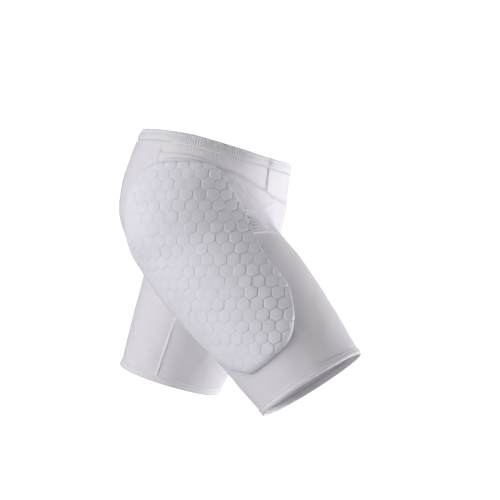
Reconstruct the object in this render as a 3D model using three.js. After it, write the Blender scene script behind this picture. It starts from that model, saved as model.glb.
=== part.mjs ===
// Padded sliding shorts, held in the shape that they have when worn in a long stride.
// Millimetres, +Z up. The wearer faces -Y, so the wearer's right side is -X.
// The origin is the centre of the waist opening, where the wearer's waist holds the shorts up.
//
// The cloth follows one smooth body form: a pelvis and two thighs blended together. Every piece
// is a sheet of that form with its own thickness, and neighbours stay a seam gap apart.

import * as THREE from 'three';

// Body form, taken at the outer face of the cloth
const HIP_BREADTH = 340;       // widest, side to side
const HIP_DEPTH = 240;         // front to back at the hips
const RISE = 205;              // waist edge to crotch
const PELVIS_TILT = 11.2;      // degrees, front down
const WAIST_DIP = 5;           // how far the front of the waist edge dips
const SIDE_DIP = 1.6;          // and how much more beside the front, a share of that
const THIGH = 176;             // thigh diameter that the thigh sections are shares of
const LEG_LENGTH = 262;        // hip point to hem on a leg whose share is 1
const HIP_SPREAD = 85;         // hip point to the middle plane
const THIGH_FADE = 50;         // how slowly a thigh's form ends above the hip point
const TRUNK_BLEND = 34;        // reach of the blend between trunk and thighs
const CROTCH_BLEND = 30;       // reach of the blend between the thighs

// Cloth and seams
const CLOTH = 1.8;
const SEAM_GAP = 0.3;
const WAISTBAND = 14.8;        // height of the waistband
const WAISTBAND_SWELL = 1.3;   // how far it stands out over the cloth
const GATHER = 0.6;            // depth of its gathers
const HEM = 10;                // height of the leg hems
const HEM_SWELL = 0.9;
const INSEAM_WIDTH = 3.6;
const MIDDLE_MARGIN = 1.5;     // least distance of a leg's own cloth from the middle plane
const SEAM_RIDGE = 0.9;        // height of the inseam and of the binding over the pad

// Hip pads
const PAD_LENGTH = 281;
const PAD_WIDTH = 256;
const PAD_TOP = 37;            // waist edge level down to the pad's top edge
const PAD_BACK_LINE = 40;      // pad reference line, forward of the origin
const PAD_THICKNESS = 6.5;
const PAD_GROOVE = 3.2;        // depth of the grooves between cells
const PAD_CLEARANCE = 1.2;     // pad to the curved cloth under it
const HEX_PITCH = 16.5;        // across the flats
const HEX_BEVEL = 2.2;         // width of a cell's sloping flank

// The stride: flex is forward, abduct is outward, and side is the sign of X. The hem's back is lower
// by the angle lean, and its outer side by the angle tilt.
const LEGS = {
  right: { side: -1, flex: 39, abduct: 8.5, share: 1.064, lean: -6, tilt: 7 },
  left: { side: 1, flex: -21.5, abduct: 6, share: 0.88, lean: 4, tilt: 4 },
};

// Pelvis sections. down is a share of the rise, half of the hip breadth, front and back of the
// hip depth, and square is the exponent of the superellipse.
const PELVIS = [
  { down: -0.10, half: 0.425, front: 0.430, back: 0.425, square: 2.10 },
  { down: 0.00, half: 0.425, front: 0.435, back: 0.430, square: 2.10 },
  { down: 0.07, half: 0.431, front: 0.440, back: 0.450, square: 2.10 },
  { down: 0.25, half: 0.452, front: 0.450, back: 0.475, square: 2.15 },
  { down: 0.45, half: 0.482, front: 0.450, back: 0.480, square: 2.20 },
  { down: 0.62, half: 0.488, front: 0.435, back: 0.447, square: 2.20 },
  { down: 0.80, half: 0.420, front: 0.395, back: 0.350, square: 2.20 },
  { down: 0.94, half: 0.270, front: 0.300, back: 0.220, square: 2.10 },
  { down: 1.02, half: 0.120, front: 0.170, back: 0.080, square: 2.00 },
];

// Thigh sections. along is a share of the leg, the rest are shares of the thigh diameter.
const THIGHS = [
  { along: -0.20, half: 0.440, front: 0.400, back: 0.420 },
  { along: 0.00, half: 0.485, front: 0.475, back: 0.495 },
  { along: 0.25, half: 0.495, front: 0.507, back: 0.500 },
  { along: 0.50, half: 0.480, front: 0.517, back: 0.475 },
  { along: 0.75, half: 0.455, front: 0.486, back: 0.450 },
  { along: 1.00, half: 0.428, front: 0.437, back: 0.420 },
  { along: 1.20, half: 0.400, front: 0.408, back: 0.400 },
];

const HIP_DOWN = 0.585;        // hip point, share of the rise
const HIP_FORWARD = 0.03;      // hip point, share of the hip depth
const LEGS_PART = 0.60;        // where the legs leave the trunk, share of the rise

// Seams round the trunk, in degrees from the centre front
const FRONT_SEAM = 37.5;
const YOKE_END = 106;

// The seam under the yokes: down is a share of the rise.
const YOKE_SEAM = [
  { angle: 0, down: 0.284 },
  { angle: 24, down: 0.271 },
  { angle: 37.5, down: 0.243 },
  { angle: 50, down: 0.211 },
  { angle: 58, down: 0.191 },
  { angle: 67, down: 0.172 },
  { angle: 77, down: 0.170 },
  { angle: 88, down: 0.167 },
  { angle: 106, down: 0.205 },
];

// The seam over the pad's binding
const BINDING_SEAM = [
  { angle: 76, down: 0.143 },
  { angle: 92, down: 0.141 },
  { angle: 106, down: 0.150 },
];

// Pad outline. forward is a share of the pad's width from the reference line, down a share of
// its length from its top edge.
const PAD_OUTLINE = [
  { forward: -0.35, down: 0.005 },
  { forward: -0.22, down: 0.000 },
  { forward: -0.11, down: 0.006 },
  { forward: -0.04, down: 0.024 },
  { forward: 0.008, down: 0.064 },
  { forward: 0.070, down: 0.140 },
  { forward: 0.138, down: 0.240 },
  { forward: 0.186, down: 0.345 },
  { forward: 0.256, down: 0.465 },
  { forward: 0.362, down: 0.580 },
  { forward: 0.402, down: 0.680 },
  { forward: 0.408, down: 0.770 },
  { forward: 0.388, down: 0.845 },
  { forward: 0.330, down: 0.905 },
  { forward: 0.262, down: 0.955 },
  { forward: 0.180, down: 0.992 },
  { forward: 0.100, down: 0.985 },
  { forward: 0.000, down: 0.965 },
  { forward: -0.110, down: 0.915 },
  { forward: -0.240, down: 0.825 },
  { forward: -0.370, down: 0.710 },
  { forward: -0.490, down: 0.580 },
  { forward: -0.560, down: 0.440 },
  { forward: -0.580, down: 0.300 },
  { forward: -0.555, down: 0.160 },
  { forward: -0.470, down: 0.055 },
];

// How finely the faceted pieces follow the form
const HALF_COLUMNS = [[0, FRONT_SEAM, 4], [FRONT_SEAM, YOKE_END, 9], [YOKE_END, 180, 5]];
const YOKE_ROWS = 2;
const TRUNK_ROWS = 4;
const LEG_ROWS = [0, 0.1, 0.2, 0.32, 0.46, 0.63, 0.81, 1];
const CROTCH_COLUMNS = 5;
const INSEAM_ROWS = 6;
const BINDING_COLUMNS = 4;     // of the yoke's columns, counted from its end
const SLICE_STEP = 6;          // between the pad chart's slices
const SLICE_ANGLES = 64;

const { cos, sin, tan, atan2, hypot, abs, min, max, PI } = Math;
const rad = THREE.MathUtils.degToRad;
const vec = (x, y, z) => new THREE.Vector3(x, y, z);
const range = (from, to) => Array.from({ length: to - from }, (_, i) => from + i);
const along = (point, direction, distance) => point.clone().addScaledVector(direction, distance);

const FRONT = vec(0, -cos(rad(PELVIS_TILT)), -sin(rad(PELVIS_TILT)));
const DOWN = vec(0, sin(rad(PELVIS_TILT)), -cos(rad(PELVIS_TILT)));
const SIDE = vec(1, 0, 0);

// A value of a table between its rows, with slopes that keep the curve smooth
function between(table, key, at) {
  const columns = Object.keys(table[0]).filter((name) => name !== key);
  const last = table.length - 1;
  const t = min(max(at, table[0][key]), table[last][key]);
  let i = 0;
  while (i < last - 1 && t >= table[i + 1][key]) i += 1;
  const slope = (row, name) => {
    const rise = (k) => (table[k + 1][name] - table[k][name]) / (table[k + 1][key] - table[k][key]);
    if (row === 0) return rise(0);
    if (row === last) return rise(last - 1);
    return (rise(row - 1) + rise(row)) / 2;
  };
  const width = table[i + 1][key] - table[i][key];
  const u = (t - table[i][key]) / width;
  const result = {};
  for (const name of columns) {
    result[name] = table[i][name] * (1 + 2 * u) * (1 - u) ** 2
      + slope(i, name) * width * u * (1 - u) ** 2
      + table[i + 1][name] * u * u * (3 - 2 * u)
      + slope(i + 1, name) * width * u * u * (u - 1);
  }
  return result;
}

// The same, read from a fine list made once, because the form asks for it very often
function tabulated(table, key) {
  const first = table[0][key];
  const last = table[table.length - 1][key];
  const steps = 300;
  const names = Object.keys(table[0]).filter((name) => name !== key);
  const step = (last - first) / steps;
  const rows = range(0, steps + 1).map((i) => between(table, key, first + step * i));
  return (value) => {
    const at = min(max((value - first) / (last - first), 0), 1) * steps;
    const i = min(Math.floor(at), steps - 1);
    const result = {};
    for (const name of names) {
      result[name] = rows[i][name] + (rows[i + 1][name] - rows[i][name]) * (at - i);
    }
    return result;
  };
}

const pelvisSection = tabulated(PELVIS, 'down');
const thighSection = tabulated(THIGHS, 'along');

function legFrame(leg) {
  const flex = rad(leg.flex);
  const abduct = rad(leg.abduct);
  const axis = vec(leg.side * sin(abduct), -sin(flex) * cos(abduct), -cos(flex) * cos(abduct));
  const outward = vec(leg.side, 0, 0);
  outward.addScaledVector(axis, -outward.dot(axis)).normalize();
  const front = axis.clone().cross(outward).multiplyScalar(leg.side);
  if (front.y > 0) front.negate();
  const hip = vec(leg.side * HIP_SPREAD, 0, 0)
    .addScaledVector(DOWN, HIP_DOWN * RISE)
    .addScaledVector(FRONT, HIP_FORWARD * HIP_DEPTH);
  return { ...leg, axis, outward, front, hip, reach: LEG_LENGTH * leg.share };
}

const RIGHT = legFrame(LEGS.right);
const LEFT = legFrame(LEGS.left);

// Signed distance-like fields, negative inside. Each is zero on the outer face of the cloth.
function pelvisField(p) {
  const down = p.dot(DOWN) / RISE;
  const section = pelvisSection(down);
  const x = p.dot(SIDE);
  const y = p.dot(FRONT);
  const depth = (y > 0 ? section.front : section.back) * HIP_DEPTH;
  const n = section.square;
  const r = (abs(x / (section.half * HIP_BREADTH)) ** n + abs(y / depth) ** n) ** (1 / n) + 1e-9;
  const f = (hypot(x, y) + 1e-9) * (1 - 1 / r);
  const over = max(0, down - PELVIS[PELVIS.length - 1].down) * RISE;
  return over > 0 ? hypot(max(f, 0), over) : f;
}

function legField(p, leg) {
  const d = p.clone().sub(leg.hip);
  const share = d.dot(leg.axis) / leg.reach;
  const section = thighSection(share);
  const x = d.dot(leg.outward);
  const y = d.dot(leg.front);
  const depth = (y > 0 ? section.front : section.back) * THIGH;
  const r = hypot(x / (section.half * THIGH), y / depth) + 1e-9;
  const over = max(0, -share * leg.reach);
  return max(hypot(x, y) * (1 - 1 / r), -THIGH_FADE) + over ** 2 / (2 * THIGH_FADE);
}

function blend(a, b, reach) {
  const h = max(reach - abs(a - b), 0) / reach;
  return min(a, b) - h * h * reach / 4;
}

function bodyField(p) {
  const legs = blend(legField(p, RIGHT), legField(p, LEFT), CROTCH_BLEND);
  return blend(pelvisField(p), legs, TRUNK_BLEND);
}

// Where a ray from inside first leaves the form
function leave(origin, direction, reach = 1.1 * HIP_DEPTH) {
  const steps = 48;
  let low = 0;
  let high = reach;
  for (let i = 1; i <= steps; i += 1) {
    if (bodyField(along(origin, direction, reach * i / steps)) > 0) {
      high = reach * i / steps;
      low = reach * (i - 1) / steps;
      break;
    }
  }
  for (let i = 0; i < 18; i += 1) {
    const middle = (low + high) / 2;
    if (bodyField(along(origin, direction, middle)) > 0) high = middle;
    else low = middle;
  }
  return along(origin, direction, high);
}

// The form's normal. On the middle plane it stays in that plane, so that both halves meet there.
function normalAt(p) {
  const e = 0.4;
  const slope = (v) => bodyField(along(p, v, e)) - bodyField(along(p, v, -e));
  const across = abs(p.x) < 0.01 ? 0 : slope(vec(1, 0, 0));
  return vec(across, slope(vec(0, 1, 0)), slope(vec(0, 0, 1))).normalize();
}

// A point near the form, moved onto it
function settle(point) {
  const p = point.clone();
  for (let i = 0; i < 4; i += 1) {
    const n = normalAt(p);
    const steep = (bodyField(along(p, n, 0.5)) - bodyField(along(p, n, -0.5)));
    p.addScaledVector(n, -bodyField(p) / max(steep, 0.3));
  }
  return p;
}

// The trunk: angle runs from the centre front over the given side, down is a share of the rise.
function trunkPoint(side, angle, down) {
  const low = WAIST_DIP * max(0, cos(angle)) * (1 + SIDE_DIP * sin(angle));
  const dip = low * (1 - down / LEGS_PART);
  const origin = DOWN.clone().multiplyScalar(down * RISE + dip);
  const direction = FRONT.clone().multiplyScalar(cos(angle));
  direction.addScaledVector(SIDE, side * sin(angle));
  return leave(origin, direction);
}

// The loop that a leg hangs from: half of the trunk's last ring, then the crotch line back to the
// front. Each of its points runs down the leg on a line of its own.
function legLines(leg, angles) {
  const loop = angles.map((angle) => trunkPoint(leg.side, angle, LEGS_PART));
  const centre = DOWN.clone().multiplyScalar(LEGS_PART * RISE);
  for (let i = 1; i <= CROTCH_COLUMNS; i += 1) {
    const turn = PI + PI * i / (CROTCH_COLUMNS + 1);
    const direction = FRONT.clone().multiplyScalar(cos(turn)).addScaledVector(DOWN, -sin(turn));
    loop.push(leave(centre, direction));
  }
  let before = 0;
  const lines = loop.map((start, i) => {
    const d = start.clone().sub(leg.hip);
    let turn = atan2(-d.dot(leg.front), d.dot(leg.outward));
    while (i > 0 && turn - before > PI) turn -= 2 * PI;
    while (i > 0 && turn - before < -PI) turn += 2 * PI;
    before = turn;
    return { start, along: d.dot(leg.axis), turn };
  });
  const even = (i) => 2 * PI * i / lines.length;
  const shift = lines.reduce((sum, line, i) => sum + line.turn - even(i), 0) / lines.length;
  lines.forEach((line, i) => { line.evenTurn = even(i) + shift; });
  return lines;
}

// A ray over the crotch would come out on the other leg, so it is kept on this side of the middle.
function thighPoint(leg, distance, turn) {
  const origin = along(leg.hip, leg.axis, distance);
  const direction = leg.outward.clone().multiplyScalar(cos(turn));
  direction.addScaledVector(leg.front, -sin(turn));
  const point = leave(origin, direction, 1.1 * THIGH);
  if (point.x * leg.side >= MIDDLE_MARGIN) return point;
  return leave(origin.setX(leg.side * MIDDLE_MARGIN), direction.setX(0).normalize(), 1.1 * THIGH);
}

function hemLean(leg, turn) {
  const slope = tan(rad(leg.lean)) * sin(turn) + tan(rad(leg.tilt)) * cos(turn);
  return THIGH * 0.43 * slope;
}

// down runs from 0 at the top of the line to 1 at the distance end from the hip point.
function legPoint(leg, line, down, end) {
  if (down === 0) return line.start;
  const ease = down * down * (3 - 2 * down);
  const distance = line.along * (1 - down) + (end + hemLean(leg, line.evenTurn)) * down;
  return thighPoint(leg, distance, line.turn * (1 - ease) + line.evenTurn * ease);
}

// Solids. A sheet is a set of surface points and quads or triangles over them.
class Sheet {
  constructor() {
    this.points = [];
    this.names = new Map();
    this.faces = [];
  }

  point(name, make) {
    if (!this.names.has(name)) {
      this.names.set(name, this.points.length);
      this.points.push(make());
    }
    return this.names.get(name);
  }

  quad(a, b, c, d) {
    this.faces.push([a, b, c], [a, c, d]);
  }
}

function borderEdges(faces) {
  const edges = new Map();
  for (const face of faces) {
    face.forEach((from, i) => {
      const to = face[(i + 1) % face.length];
      edges.set(`${from}_${to}`, [from, to]);
    });
  }
  return [...edges.values()].filter(([from, to]) => !edges.has(`${to}_${from}`));
}

// Draws a sheet's border back by half a seam gap, square to each of its edges.
function trimBorder(sheet, normals, trim) {
  const inward = sheet.points.map(() => []);
  for (const [from, to] of borderEdges(sheet.faces)) {
    const edge = sheet.points[to].clone().sub(sheet.points[from]).normalize();
    for (const end of [from, to]) inward[end].push(normals[end].clone().cross(edge).normalize());
  }
  return sheet.points.map((point, i) => {
    if (inward[i].length < 2) return point.clone();
    const [a, b] = inward[i];
    return along(point, a.clone().add(b), trim / max(1 + a.dot(b), 0.35));
  });
}

function geometryOf(points, faces) {
  let volume = 0;
  for (const [a, b, c] of faces) volume += points[a].dot(points[b].clone().cross(points[c]));
  const index = volume > 0 ? faces.flat() : faces.flatMap(([a, b, c]) => [a, c, b]);
  const geometry = new THREE.BufferGeometry();
  const numbers = points.flatMap((p) => [p.x, p.y, p.z]);
  geometry.setAttribute('position', new THREE.Float32BufferAttribute(numbers, 3));
  geometry.setIndex(index);
  geometry.computeVertexNormals();
  return geometry;
}

// Gives a sheet thickness: its outer face at rise over the form and its inner face at fall.
function thicken(sheet, rise, fall, trim = SEAM_GAP / 2, side = -1) {
  const faces = side < 0 ? sheet.faces : sheet.faces.map(([a, b, c]) => [a, c, b]);
  const normals = sheet.points.map(normalAt);
  const base = trimBorder({ points: sheet.points, faces }, normals, trim);
  const count = base.length;
  const outer = base.map((p, i) => along(p, normals[i], rise));
  const inner = base.map((p, i) => along(p, normals[i], fall));
  const innerFaces = faces.map(([a, b, c]) => [a + count, c + count, b + count]);
  const walls = borderEdges(faces).flatMap(([from, to]) => [
    [to, from, from + count],
    [to, from + count, to + count],
  ]);
  return geometryOf([...outer, ...inner], [...faces, ...innerFaces, ...walls]);
}

// A closed band: section is a list of [distance down, distance out] and place gives the form's
// point and normal for a column and a distance down.
function bandGeometry(columns, section, place) {
  const points = [];
  const faces = [];
  const size = section.length;
  for (let j = 0; j < columns; j += 1) {
    for (const [down, out] of section) {
      const { point, normal, extra = 0 } = place(j, down);
      points.push(along(point, normal, out > 0 ? out + extra : out));
    }
    const next = ((j + 1) % columns) * size;
    for (let k = 0; k < size; k += 1) {
      const [a, b] = [j * size + k, j * size + (k + 1) % size];
      const [c, d] = [next + (k + 1) % size, next + k];
      faces.push([a, b, c], [a, c, d]);
    }
  }
  return geometryOf(points, faces);
}

// Columns of each half of the trunk, front to back
const ANGLES = HALF_COLUMNS.flatMap(([from, to, count], part) => {
  const list = [];
  for (let i = part === 0 ? 0 : 1; i <= count; i += 1) list.push(rad(from + (to - from) * i / count));
  return list;
});
const SEAM_COLUMN = HALF_COLUMNS[0][2];
const END_COLUMN = HALF_COLUMNS[0][2] + HALF_COLUMNS[1][2];
const BAND_DOWN = WAISTBAND / RISE;

const degrees = THREE.MathUtils.radToDeg;
const yokeSeam = (angle) => between(YOKE_SEAM, 'angle', degrees(angle)).down;

// Share of the rise of a row: the first rows lie over the yoke seam, the rest under it.
function rowDown(angle, row) {
  const seam = yokeSeam(angle);
  if (row <= YOKE_ROWS) return BAND_DOWN + (seam - BAND_DOWN) * row / YOKE_ROWS;
  return seam + (LEGS_PART - seam) * (row - YOKE_ROWS) / TRUNK_ROWS;
}

// Rows and columns of the trunk added to a sheet. A column under 0 lies on the left side.
function addTrunk(sheet, side, columns, rows) {
  const vertex = (row, column) => sheet.point(`${row} ${column}`, () => {
    const angle = ANGLES[abs(column)];
    return trunkPoint(column < 0 ? -side : side, angle, rowDown(angle, row));
  });
  for (const column of columns) {
    for (const row of rows(column)) {
      const [a, b] = [vertex(row, column), vertex(row, column + 1)];
      const [c, d] = [vertex(row + 1, column + 1), vertex(row + 1, column)];
      sheet.quad(a, b, c, d);
    }
  }
  return sheet;
}

// The pouch yoke lies across the centre front, between the two front seams.
function pouchSheet() {
  return addTrunk(new Sheet(), -1, range(-SEAM_COLUMN, SEAM_COLUMN), () => range(0, YOKE_ROWS));
}

function yokeSheet(leg) {
  return addTrunk(new Sheet(), leg.side, range(SEAM_COLUMN, END_COLUMN), () => range(0, YOKE_ROWS));
}

// A body panel: the half of the trunk under the yoke seam and behind the yoke, and its leg
function bodySheet(leg) {
  const last = YOKE_ROWS + TRUNK_ROWS;
  const back = ANGLES.length - 1;
  const trunkRows = (column) => range(column < END_COLUMN ? YOKE_ROWS : 0, last);
  const sheet = addTrunk(new Sheet(), leg.side, range(0, back), trunkRows);
  const lines = legLines(leg, ANGLES);
  const end = leg.reach - HEM;
  const vertex = (row, line) => {
    const name = row === 0 && line <= back ? `${last} ${line}` : `leg ${row} ${line}`;
    return sheet.point(name, () => legPoint(leg, lines[line], LEG_ROWS[row], end));
  };
  for (const line of range(0, lines.length)) {
    const next = (line + 1) % lines.length;
    for (const row of range(0, LEG_ROWS.length - 1)) {
      sheet.quad(vertex(row, line), vertex(row, next), vertex(row + 1, next), vertex(row + 1, line));
    }
  }
  return sheet;
}

// The waistband: a ribbed ring, gathered over each hip
const GATHERED = { from: 58, to: 94, ribs: 9 };
const WAISTBAND_SECTION = [
  [0, -CLOTH], [0, 0.4], [0.12 * WAISTBAND, 0.9 * WAISTBAND_SWELL], [0.5 * WAISTBAND, WAISTBAND_SWELL],
  [0.88 * WAISTBAND, 0.8 * WAISTBAND_SWELL], [WAISTBAND - SEAM_GAP, 0.1], [WAISTBAND - SEAM_GAP, -CLOTH],
];

function waistbandAngles() {
  const { from, to, ribs } = GATHERED;
  const plain = ANGLES.map(degrees).filter((angle) => angle < from - 2 || angle > to + 2);
  const gathers = range(0, 2 * ribs + 1).map((i) => [from + (to - from) * i / (2 * ribs), i % 2]);
  const half = [...plain.map((angle) => [angle, 0]), ...gathers].sort((a, b) => a[0] - b[0]);
  const other = half.slice(1, -1).reverse().map(([angle, rib]) => [-angle, rib]);
  return [...half, ...other];
}

function waistbandGeometry() {
  const columns = waistbandAngles();
  return bandGeometry(columns.length, WAISTBAND_SECTION, (j, down) => {
    const [angle, rib] = columns[j];
    const point = trunkPoint(angle < 0 ? 1 : -1, rad(abs(angle)), down / RISE);
    return { point, normal: normalAt(point), extra: rib ? GATHER : 0 };
  });
}

// A hem: a folded band at the end of a leg
const HEM_SECTION = [
  [0, -CLOTH], [0, 0.1], [0.12 * HEM, 0.8 * HEM_SWELL], [0.55 * HEM, HEM_SWELL],
  [0.9 * HEM, 0.8 * HEM_SWELL], [HEM, 0.1], [HEM, -CLOTH],
];

function hemGeometry(leg) {
  const lines = legLines(leg, ANGLES);
  return bandGeometry(lines.length, HEM_SECTION, (j, down) => {
    const line = lines[j];
    const distance = leg.reach - HEM + down + SEAM_GAP / 2 + hemLean(leg, line.evenTurn);
    const point = thighPoint(leg, distance, line.evenTurn);
    return { point, normal: normalAt(point) };
  });
}

// The inseam: a ridge down the innermost line of a leg
const INSEAM_START = 0.54;     // share of the leg where the thighs have parted

function inseamSheet(leg) {
  const sheet = new Sheet();
  const vertex = (row, edge) => sheet.point(`${row} ${edge}`, () => {
    const start = INSEAM_START * leg.reach;
    const end = leg.reach - HEM - SEAM_GAP + hemLean(leg, PI);
    const turn = PI + edge * INSEAM_WIDTH / THIGH;
    return thighPoint(leg, start + (end - start) * row / INSEAM_ROWS, turn);
  });
  for (const row of range(0, INSEAM_ROWS)) {
    sheet.quad(vertex(row, -1), vertex(row, 1), vertex(row + 1, 1), vertex(row + 1, -1));
  }
  return sheet;
}

// The binding: a flat strip on the yoke, over the pad's top edge
function bindingSheet(leg) {
  const sheet = new Sheet();
  const vertex = (row, column) => sheet.point(`${row} ${column}`, () => {
    const angle = ANGLES[column];
    const top = between(BINDING_SEAM, 'angle', degrees(angle)).down;
    return trunkPoint(leg.side, angle, row === 0 ? top : yokeSeam(angle));
  });
  for (const column of range(END_COLUMN - BINDING_COLUMNS, END_COLUMN)) {
    sheet.quad(vertex(0, column), vertex(0, column + 1), vertex(1, column + 1), vertex(1, column));
  }
  return sheet;
}

// Each pad is laid out on a chart of its hip: level slices give the second coordinate, down from
// the pad's top, and the length along a slice, forward of the reference line, gives the first.
function makeSlice(leg, z) {
  const down = max(0, (leg.hip.z - z) / -leg.axis.z);
  const centre = along(leg.hip, leg.axis, down).setZ(z);
  const rows = [];
  for (const i of range(0, SLICE_ANGLES + 1)) {
    const turn = rad(-150 + 300 * i / SLICE_ANGLES);
    const point = leave(centre, vec(leg.side * cos(turn), -sin(turn), 0), HIP_BREADTH);
    const before = rows[i - 1];
    rows.push({ point, length: before ? before.length + point.distanceTo(before.point) : 0 });
  }
  const facing = rows[SLICE_ANGLES / 2];
  const shift = -PAD_BACK_LINE - facing.point.y - facing.length;
  return rows.map((row) => ({ point: row.point, forward: row.length + shift }));
}

function readSlice(rows, forward) {
  const next = rows.findIndex((row) => row.forward > forward);
  const i = next < 0 ? rows.length - 2 : max(next - 1, 0);
  const share = (forward - rows[i].forward) / (rows[i + 1].forward - rows[i].forward);
  return rows[i].point.clone().lerp(rows[i + 1].point, share);
}

function hipChart(leg) {
  const margin = 2 * SLICE_STEP;
  const count = Math.ceil((PAD_LENGTH + 2 * margin) / SLICE_STEP) + 1;
  const slices = range(0, count).map((i) => makeSlice(leg, margin - PAD_TOP - i * SLICE_STEP));
  return (forward, down) => {
    const at = min(max((down + margin) / SLICE_STEP, 0), count - 1.001);
    const i = Math.floor(at);
    return settle(readSlice(slices[i], forward).lerp(readSlice(slices[i + 1], forward), at - i));
  };
}

// The outline is that of the right pad. On the other leg its lower part turns about the hip with
// the thigh, and is as much shorter as that leg is.
function padEdge(leg) {
  const hip = new THREE.Vector2(-leg.hip.y - PAD_BACK_LINE, -leg.hip.z - PAD_TOP);
  return PAD_OUTLINE.map((row) => {
    const point = new THREE.Vector2(row.forward * PAD_WIDTH, row.down * PAD_LENGTH).sub(hip);
    const share = THREE.MathUtils.smoothstep(point.y, -0.15 * PAD_LENGTH, 0.45 * PAD_LENGTH);
    const length = 1 + (leg.reach / RIGHT.reach - 1) * share;
    return point.rotateAround(new THREE.Vector2(), rad(RIGHT.flex - leg.flex) * share)
      .multiplyScalar(length).add(hip);
  });
}

// Cells: pointed-top hexagons in level rows, cut by the pad's outline
function clip(polygon, from, to) {
  const sideOf = (p) => (to.x - from.x) * (p.y - from.y) - (to.y - from.y) * (p.x - from.x);
  const result = [];
  polygon.forEach((p, i) => {
    const q = polygon[(i + 1) % polygon.length];
    const [sp, sq] = [sideOf(p), sideOf(q)];
    if (sp >= 0) result.push(p);
    if ((sp >= 0) !== (sq >= 0)) result.push(p.clone().lerp(q, sp / (sp - sq)));
  });
  return result;
}

// Every corner of the honeycomb lies on this lattice, so a cut that passes close by takes it.
const HEX_SIDE = HEX_PITCH / Math.sqrt(3);
const HEX_START = 0.35 * HEX_PITCH;
const HEX_STEP = new THREE.Vector2(HEX_PITCH / 2, HEX_SIDE / 2);
const CORNER_REACH = 0.06 * HEX_PITCH;

function toCorner(p) {
  const corner = new THREE.Vector2(
    Math.round(p.x / HEX_STEP.x) * HEX_STEP.x,
    Math.round((p.y - HEX_START) / HEX_STEP.y) * HEX_STEP.y + HEX_START,
  );
  return corner.distanceTo(p) < CORNER_REACH ? corner : p;
}

const keyOf = (p) => `${Math.round(p.x * 40 + 0.3)} ${Math.round(p.y * 40 + 0.3)}`;

function hexagon(x, y) {
  return range(0, 6).map((i) => toCorner(new THREE.Vector2(
    x + HEX_SIDE * sin(PI * i / 3),
    y - HEX_SIDE * cos(PI * i / 3),
  )));
}

function padCells(edge) {
  const cells = [];
  const whole = 1.5 * HEX_SIDE * HEX_PITCH;
  const reach = Math.ceil(PAD_WIDTH / HEX_PITCH);
  for (const row of range(-1, Math.ceil(PAD_LENGTH / (1.5 * HEX_SIDE)) + 1)) {
    for (const column of range(-reach, reach)) {
      const centre = (column + abs(row % 2) / 2) * HEX_PITCH;
      const corners = hexagon(centre, HEX_START + 1.5 * HEX_SIDE * row);
      let cell = edge;
      corners.forEach((from, i) => { cell = clip(cell, from, corners[(i + 1) % 6]); });
      cell = cell.map(toCorner);
      cell = cell.filter((p, i) => keyOf(p) !== keyOf(cell[(i + 1) % cell.length]));
      const size = abs(THREE.ShapeUtils.area(cell));
      if (cell.length < 3 || size < 0.12 * whole) continue;
      const keys = new Set(cell.map(keyOf));
      const full = cell.length === 6 && corners.every((p) => keys.has(keyOf(p)));
      cells.push({ outline: full ? corners : cell, full, small: size < 0.55 * whole });
    }
  }
  return cells;
}

// Triangles over a flat polygon, all turning the way that the polygon does
function flatFaces(polygon) {
  return THREE.ShapeUtils.triangulateShape(polygon, []).map(([a, b, c]) => (
    THREE.ShapeUtils.area([polygon[a], polygon[b], polygon[c]]) > 0 ? [a, b, c] : [a, c, b]));
}

function padGeometry(leg) {
  const place = hipChart(leg);
  const points = [];
  const lowest = new Map();
  const raise = (p, height) => {
    const point = place(p.x, p.y);
    return along(point, normalAt(point), PAD_CLEARANCE + height);
  };
  const shared = (p, level, height) => {
    const key = `${level} ${keyOf(p)}`;
    if (!lowest.has(key)) {
      lowest.set(key, points.length);
      points.push(raise(p, height));
    }
    return lowest.get(key);
  };
  const front = [];
  const back = [];
  const ears = new Map();
  for (const { outline, full, small } of padCells(padEdge(leg))) {
    const base = outline.map((p) => shared(p, 'groove', PAD_THICKNESS - PAD_GROOVE));
    const under = outline.map((p) => shared(p, 'back', 0));
    const flat = flatFaces(outline);
    if (small) {
      front.push(...flat.map((face) => face.map((i) => base[i])));
    } else {
      const middle = new THREE.Vector2();
      for (const p of outline) middle.addScaledVector(p, 1 / outline.length);
      const inset = 1 - HEX_BEVEL / (HEX_PITCH / 2);
      const top = outline.map((p) => {
        points.push(raise(p.clone().sub(middle).multiplyScalar(inset).add(middle), PAD_THICKNESS));
        return points.length - 1;
      });
      front.push(...flat.map((face) => face.map((i) => top[i])));
      outline.forEach((_, i) => {
        const j = (i + 1) % outline.length;
        front.push([base[i], base[j], top[j]], [base[i], top[j], top[i]]);
      });
    }
    if (!full) {
      back.push(...flat.map(([a, b, c]) => [under[a], under[c], under[b]]));
      continue;
    }
    // A whole cell's back is one triangle and three ears. Three ears that meet make one triangle.
    back.push([under[0], under[4], under[2]]);
    for (const tip of [1, 3, 5]) {
      const ear = { tip: under[tip], before: under[tip - 1], after: under[(tip + 1) % 6] };
      ears.set(ear.tip, [...(ears.get(ear.tip) ?? []), ear]);
    }
  }
  for (const [tip, group] of ears) {
    if (group.length === 3) {
      const first = group[0];
      const second = group.find((ear) => ear.after === first.before);
      back.push([first.before, first.after, second.before]);
    } else {
      back.push(...group.map((ear) => [ear.after, tip, ear.before]));
    }
  }
  const level = new Map([...lowest].map(([key, index]) => [index, key]));
  const toBack = (index) => lowest.get(level.get(index).replace('groove', 'back'));
  const walls = borderEdges(front).flatMap(([from, to]) => [
    [to, from, toBack(from)], [to, toBack(from), toBack(to)]]);
  return geometryOf(points, [...front, ...back, ...walls]);
}

// Materials
function fabric(color, roughness) {
  return new THREE.MeshStandardMaterial({ color, roughness, metalness: 0 });
}

const shorts = new THREE.Group();

function add(name, geometry, material) {
  const mesh = new THREE.Mesh(geometry, material);
  mesh.name = name;
  shorts.add(mesh);
}

const BODY_CLOTH = '#e9e8ee';
const BAND_CLOTH = '#dedde4';
const PAD_FOAM = '#dcdbe3';

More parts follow.
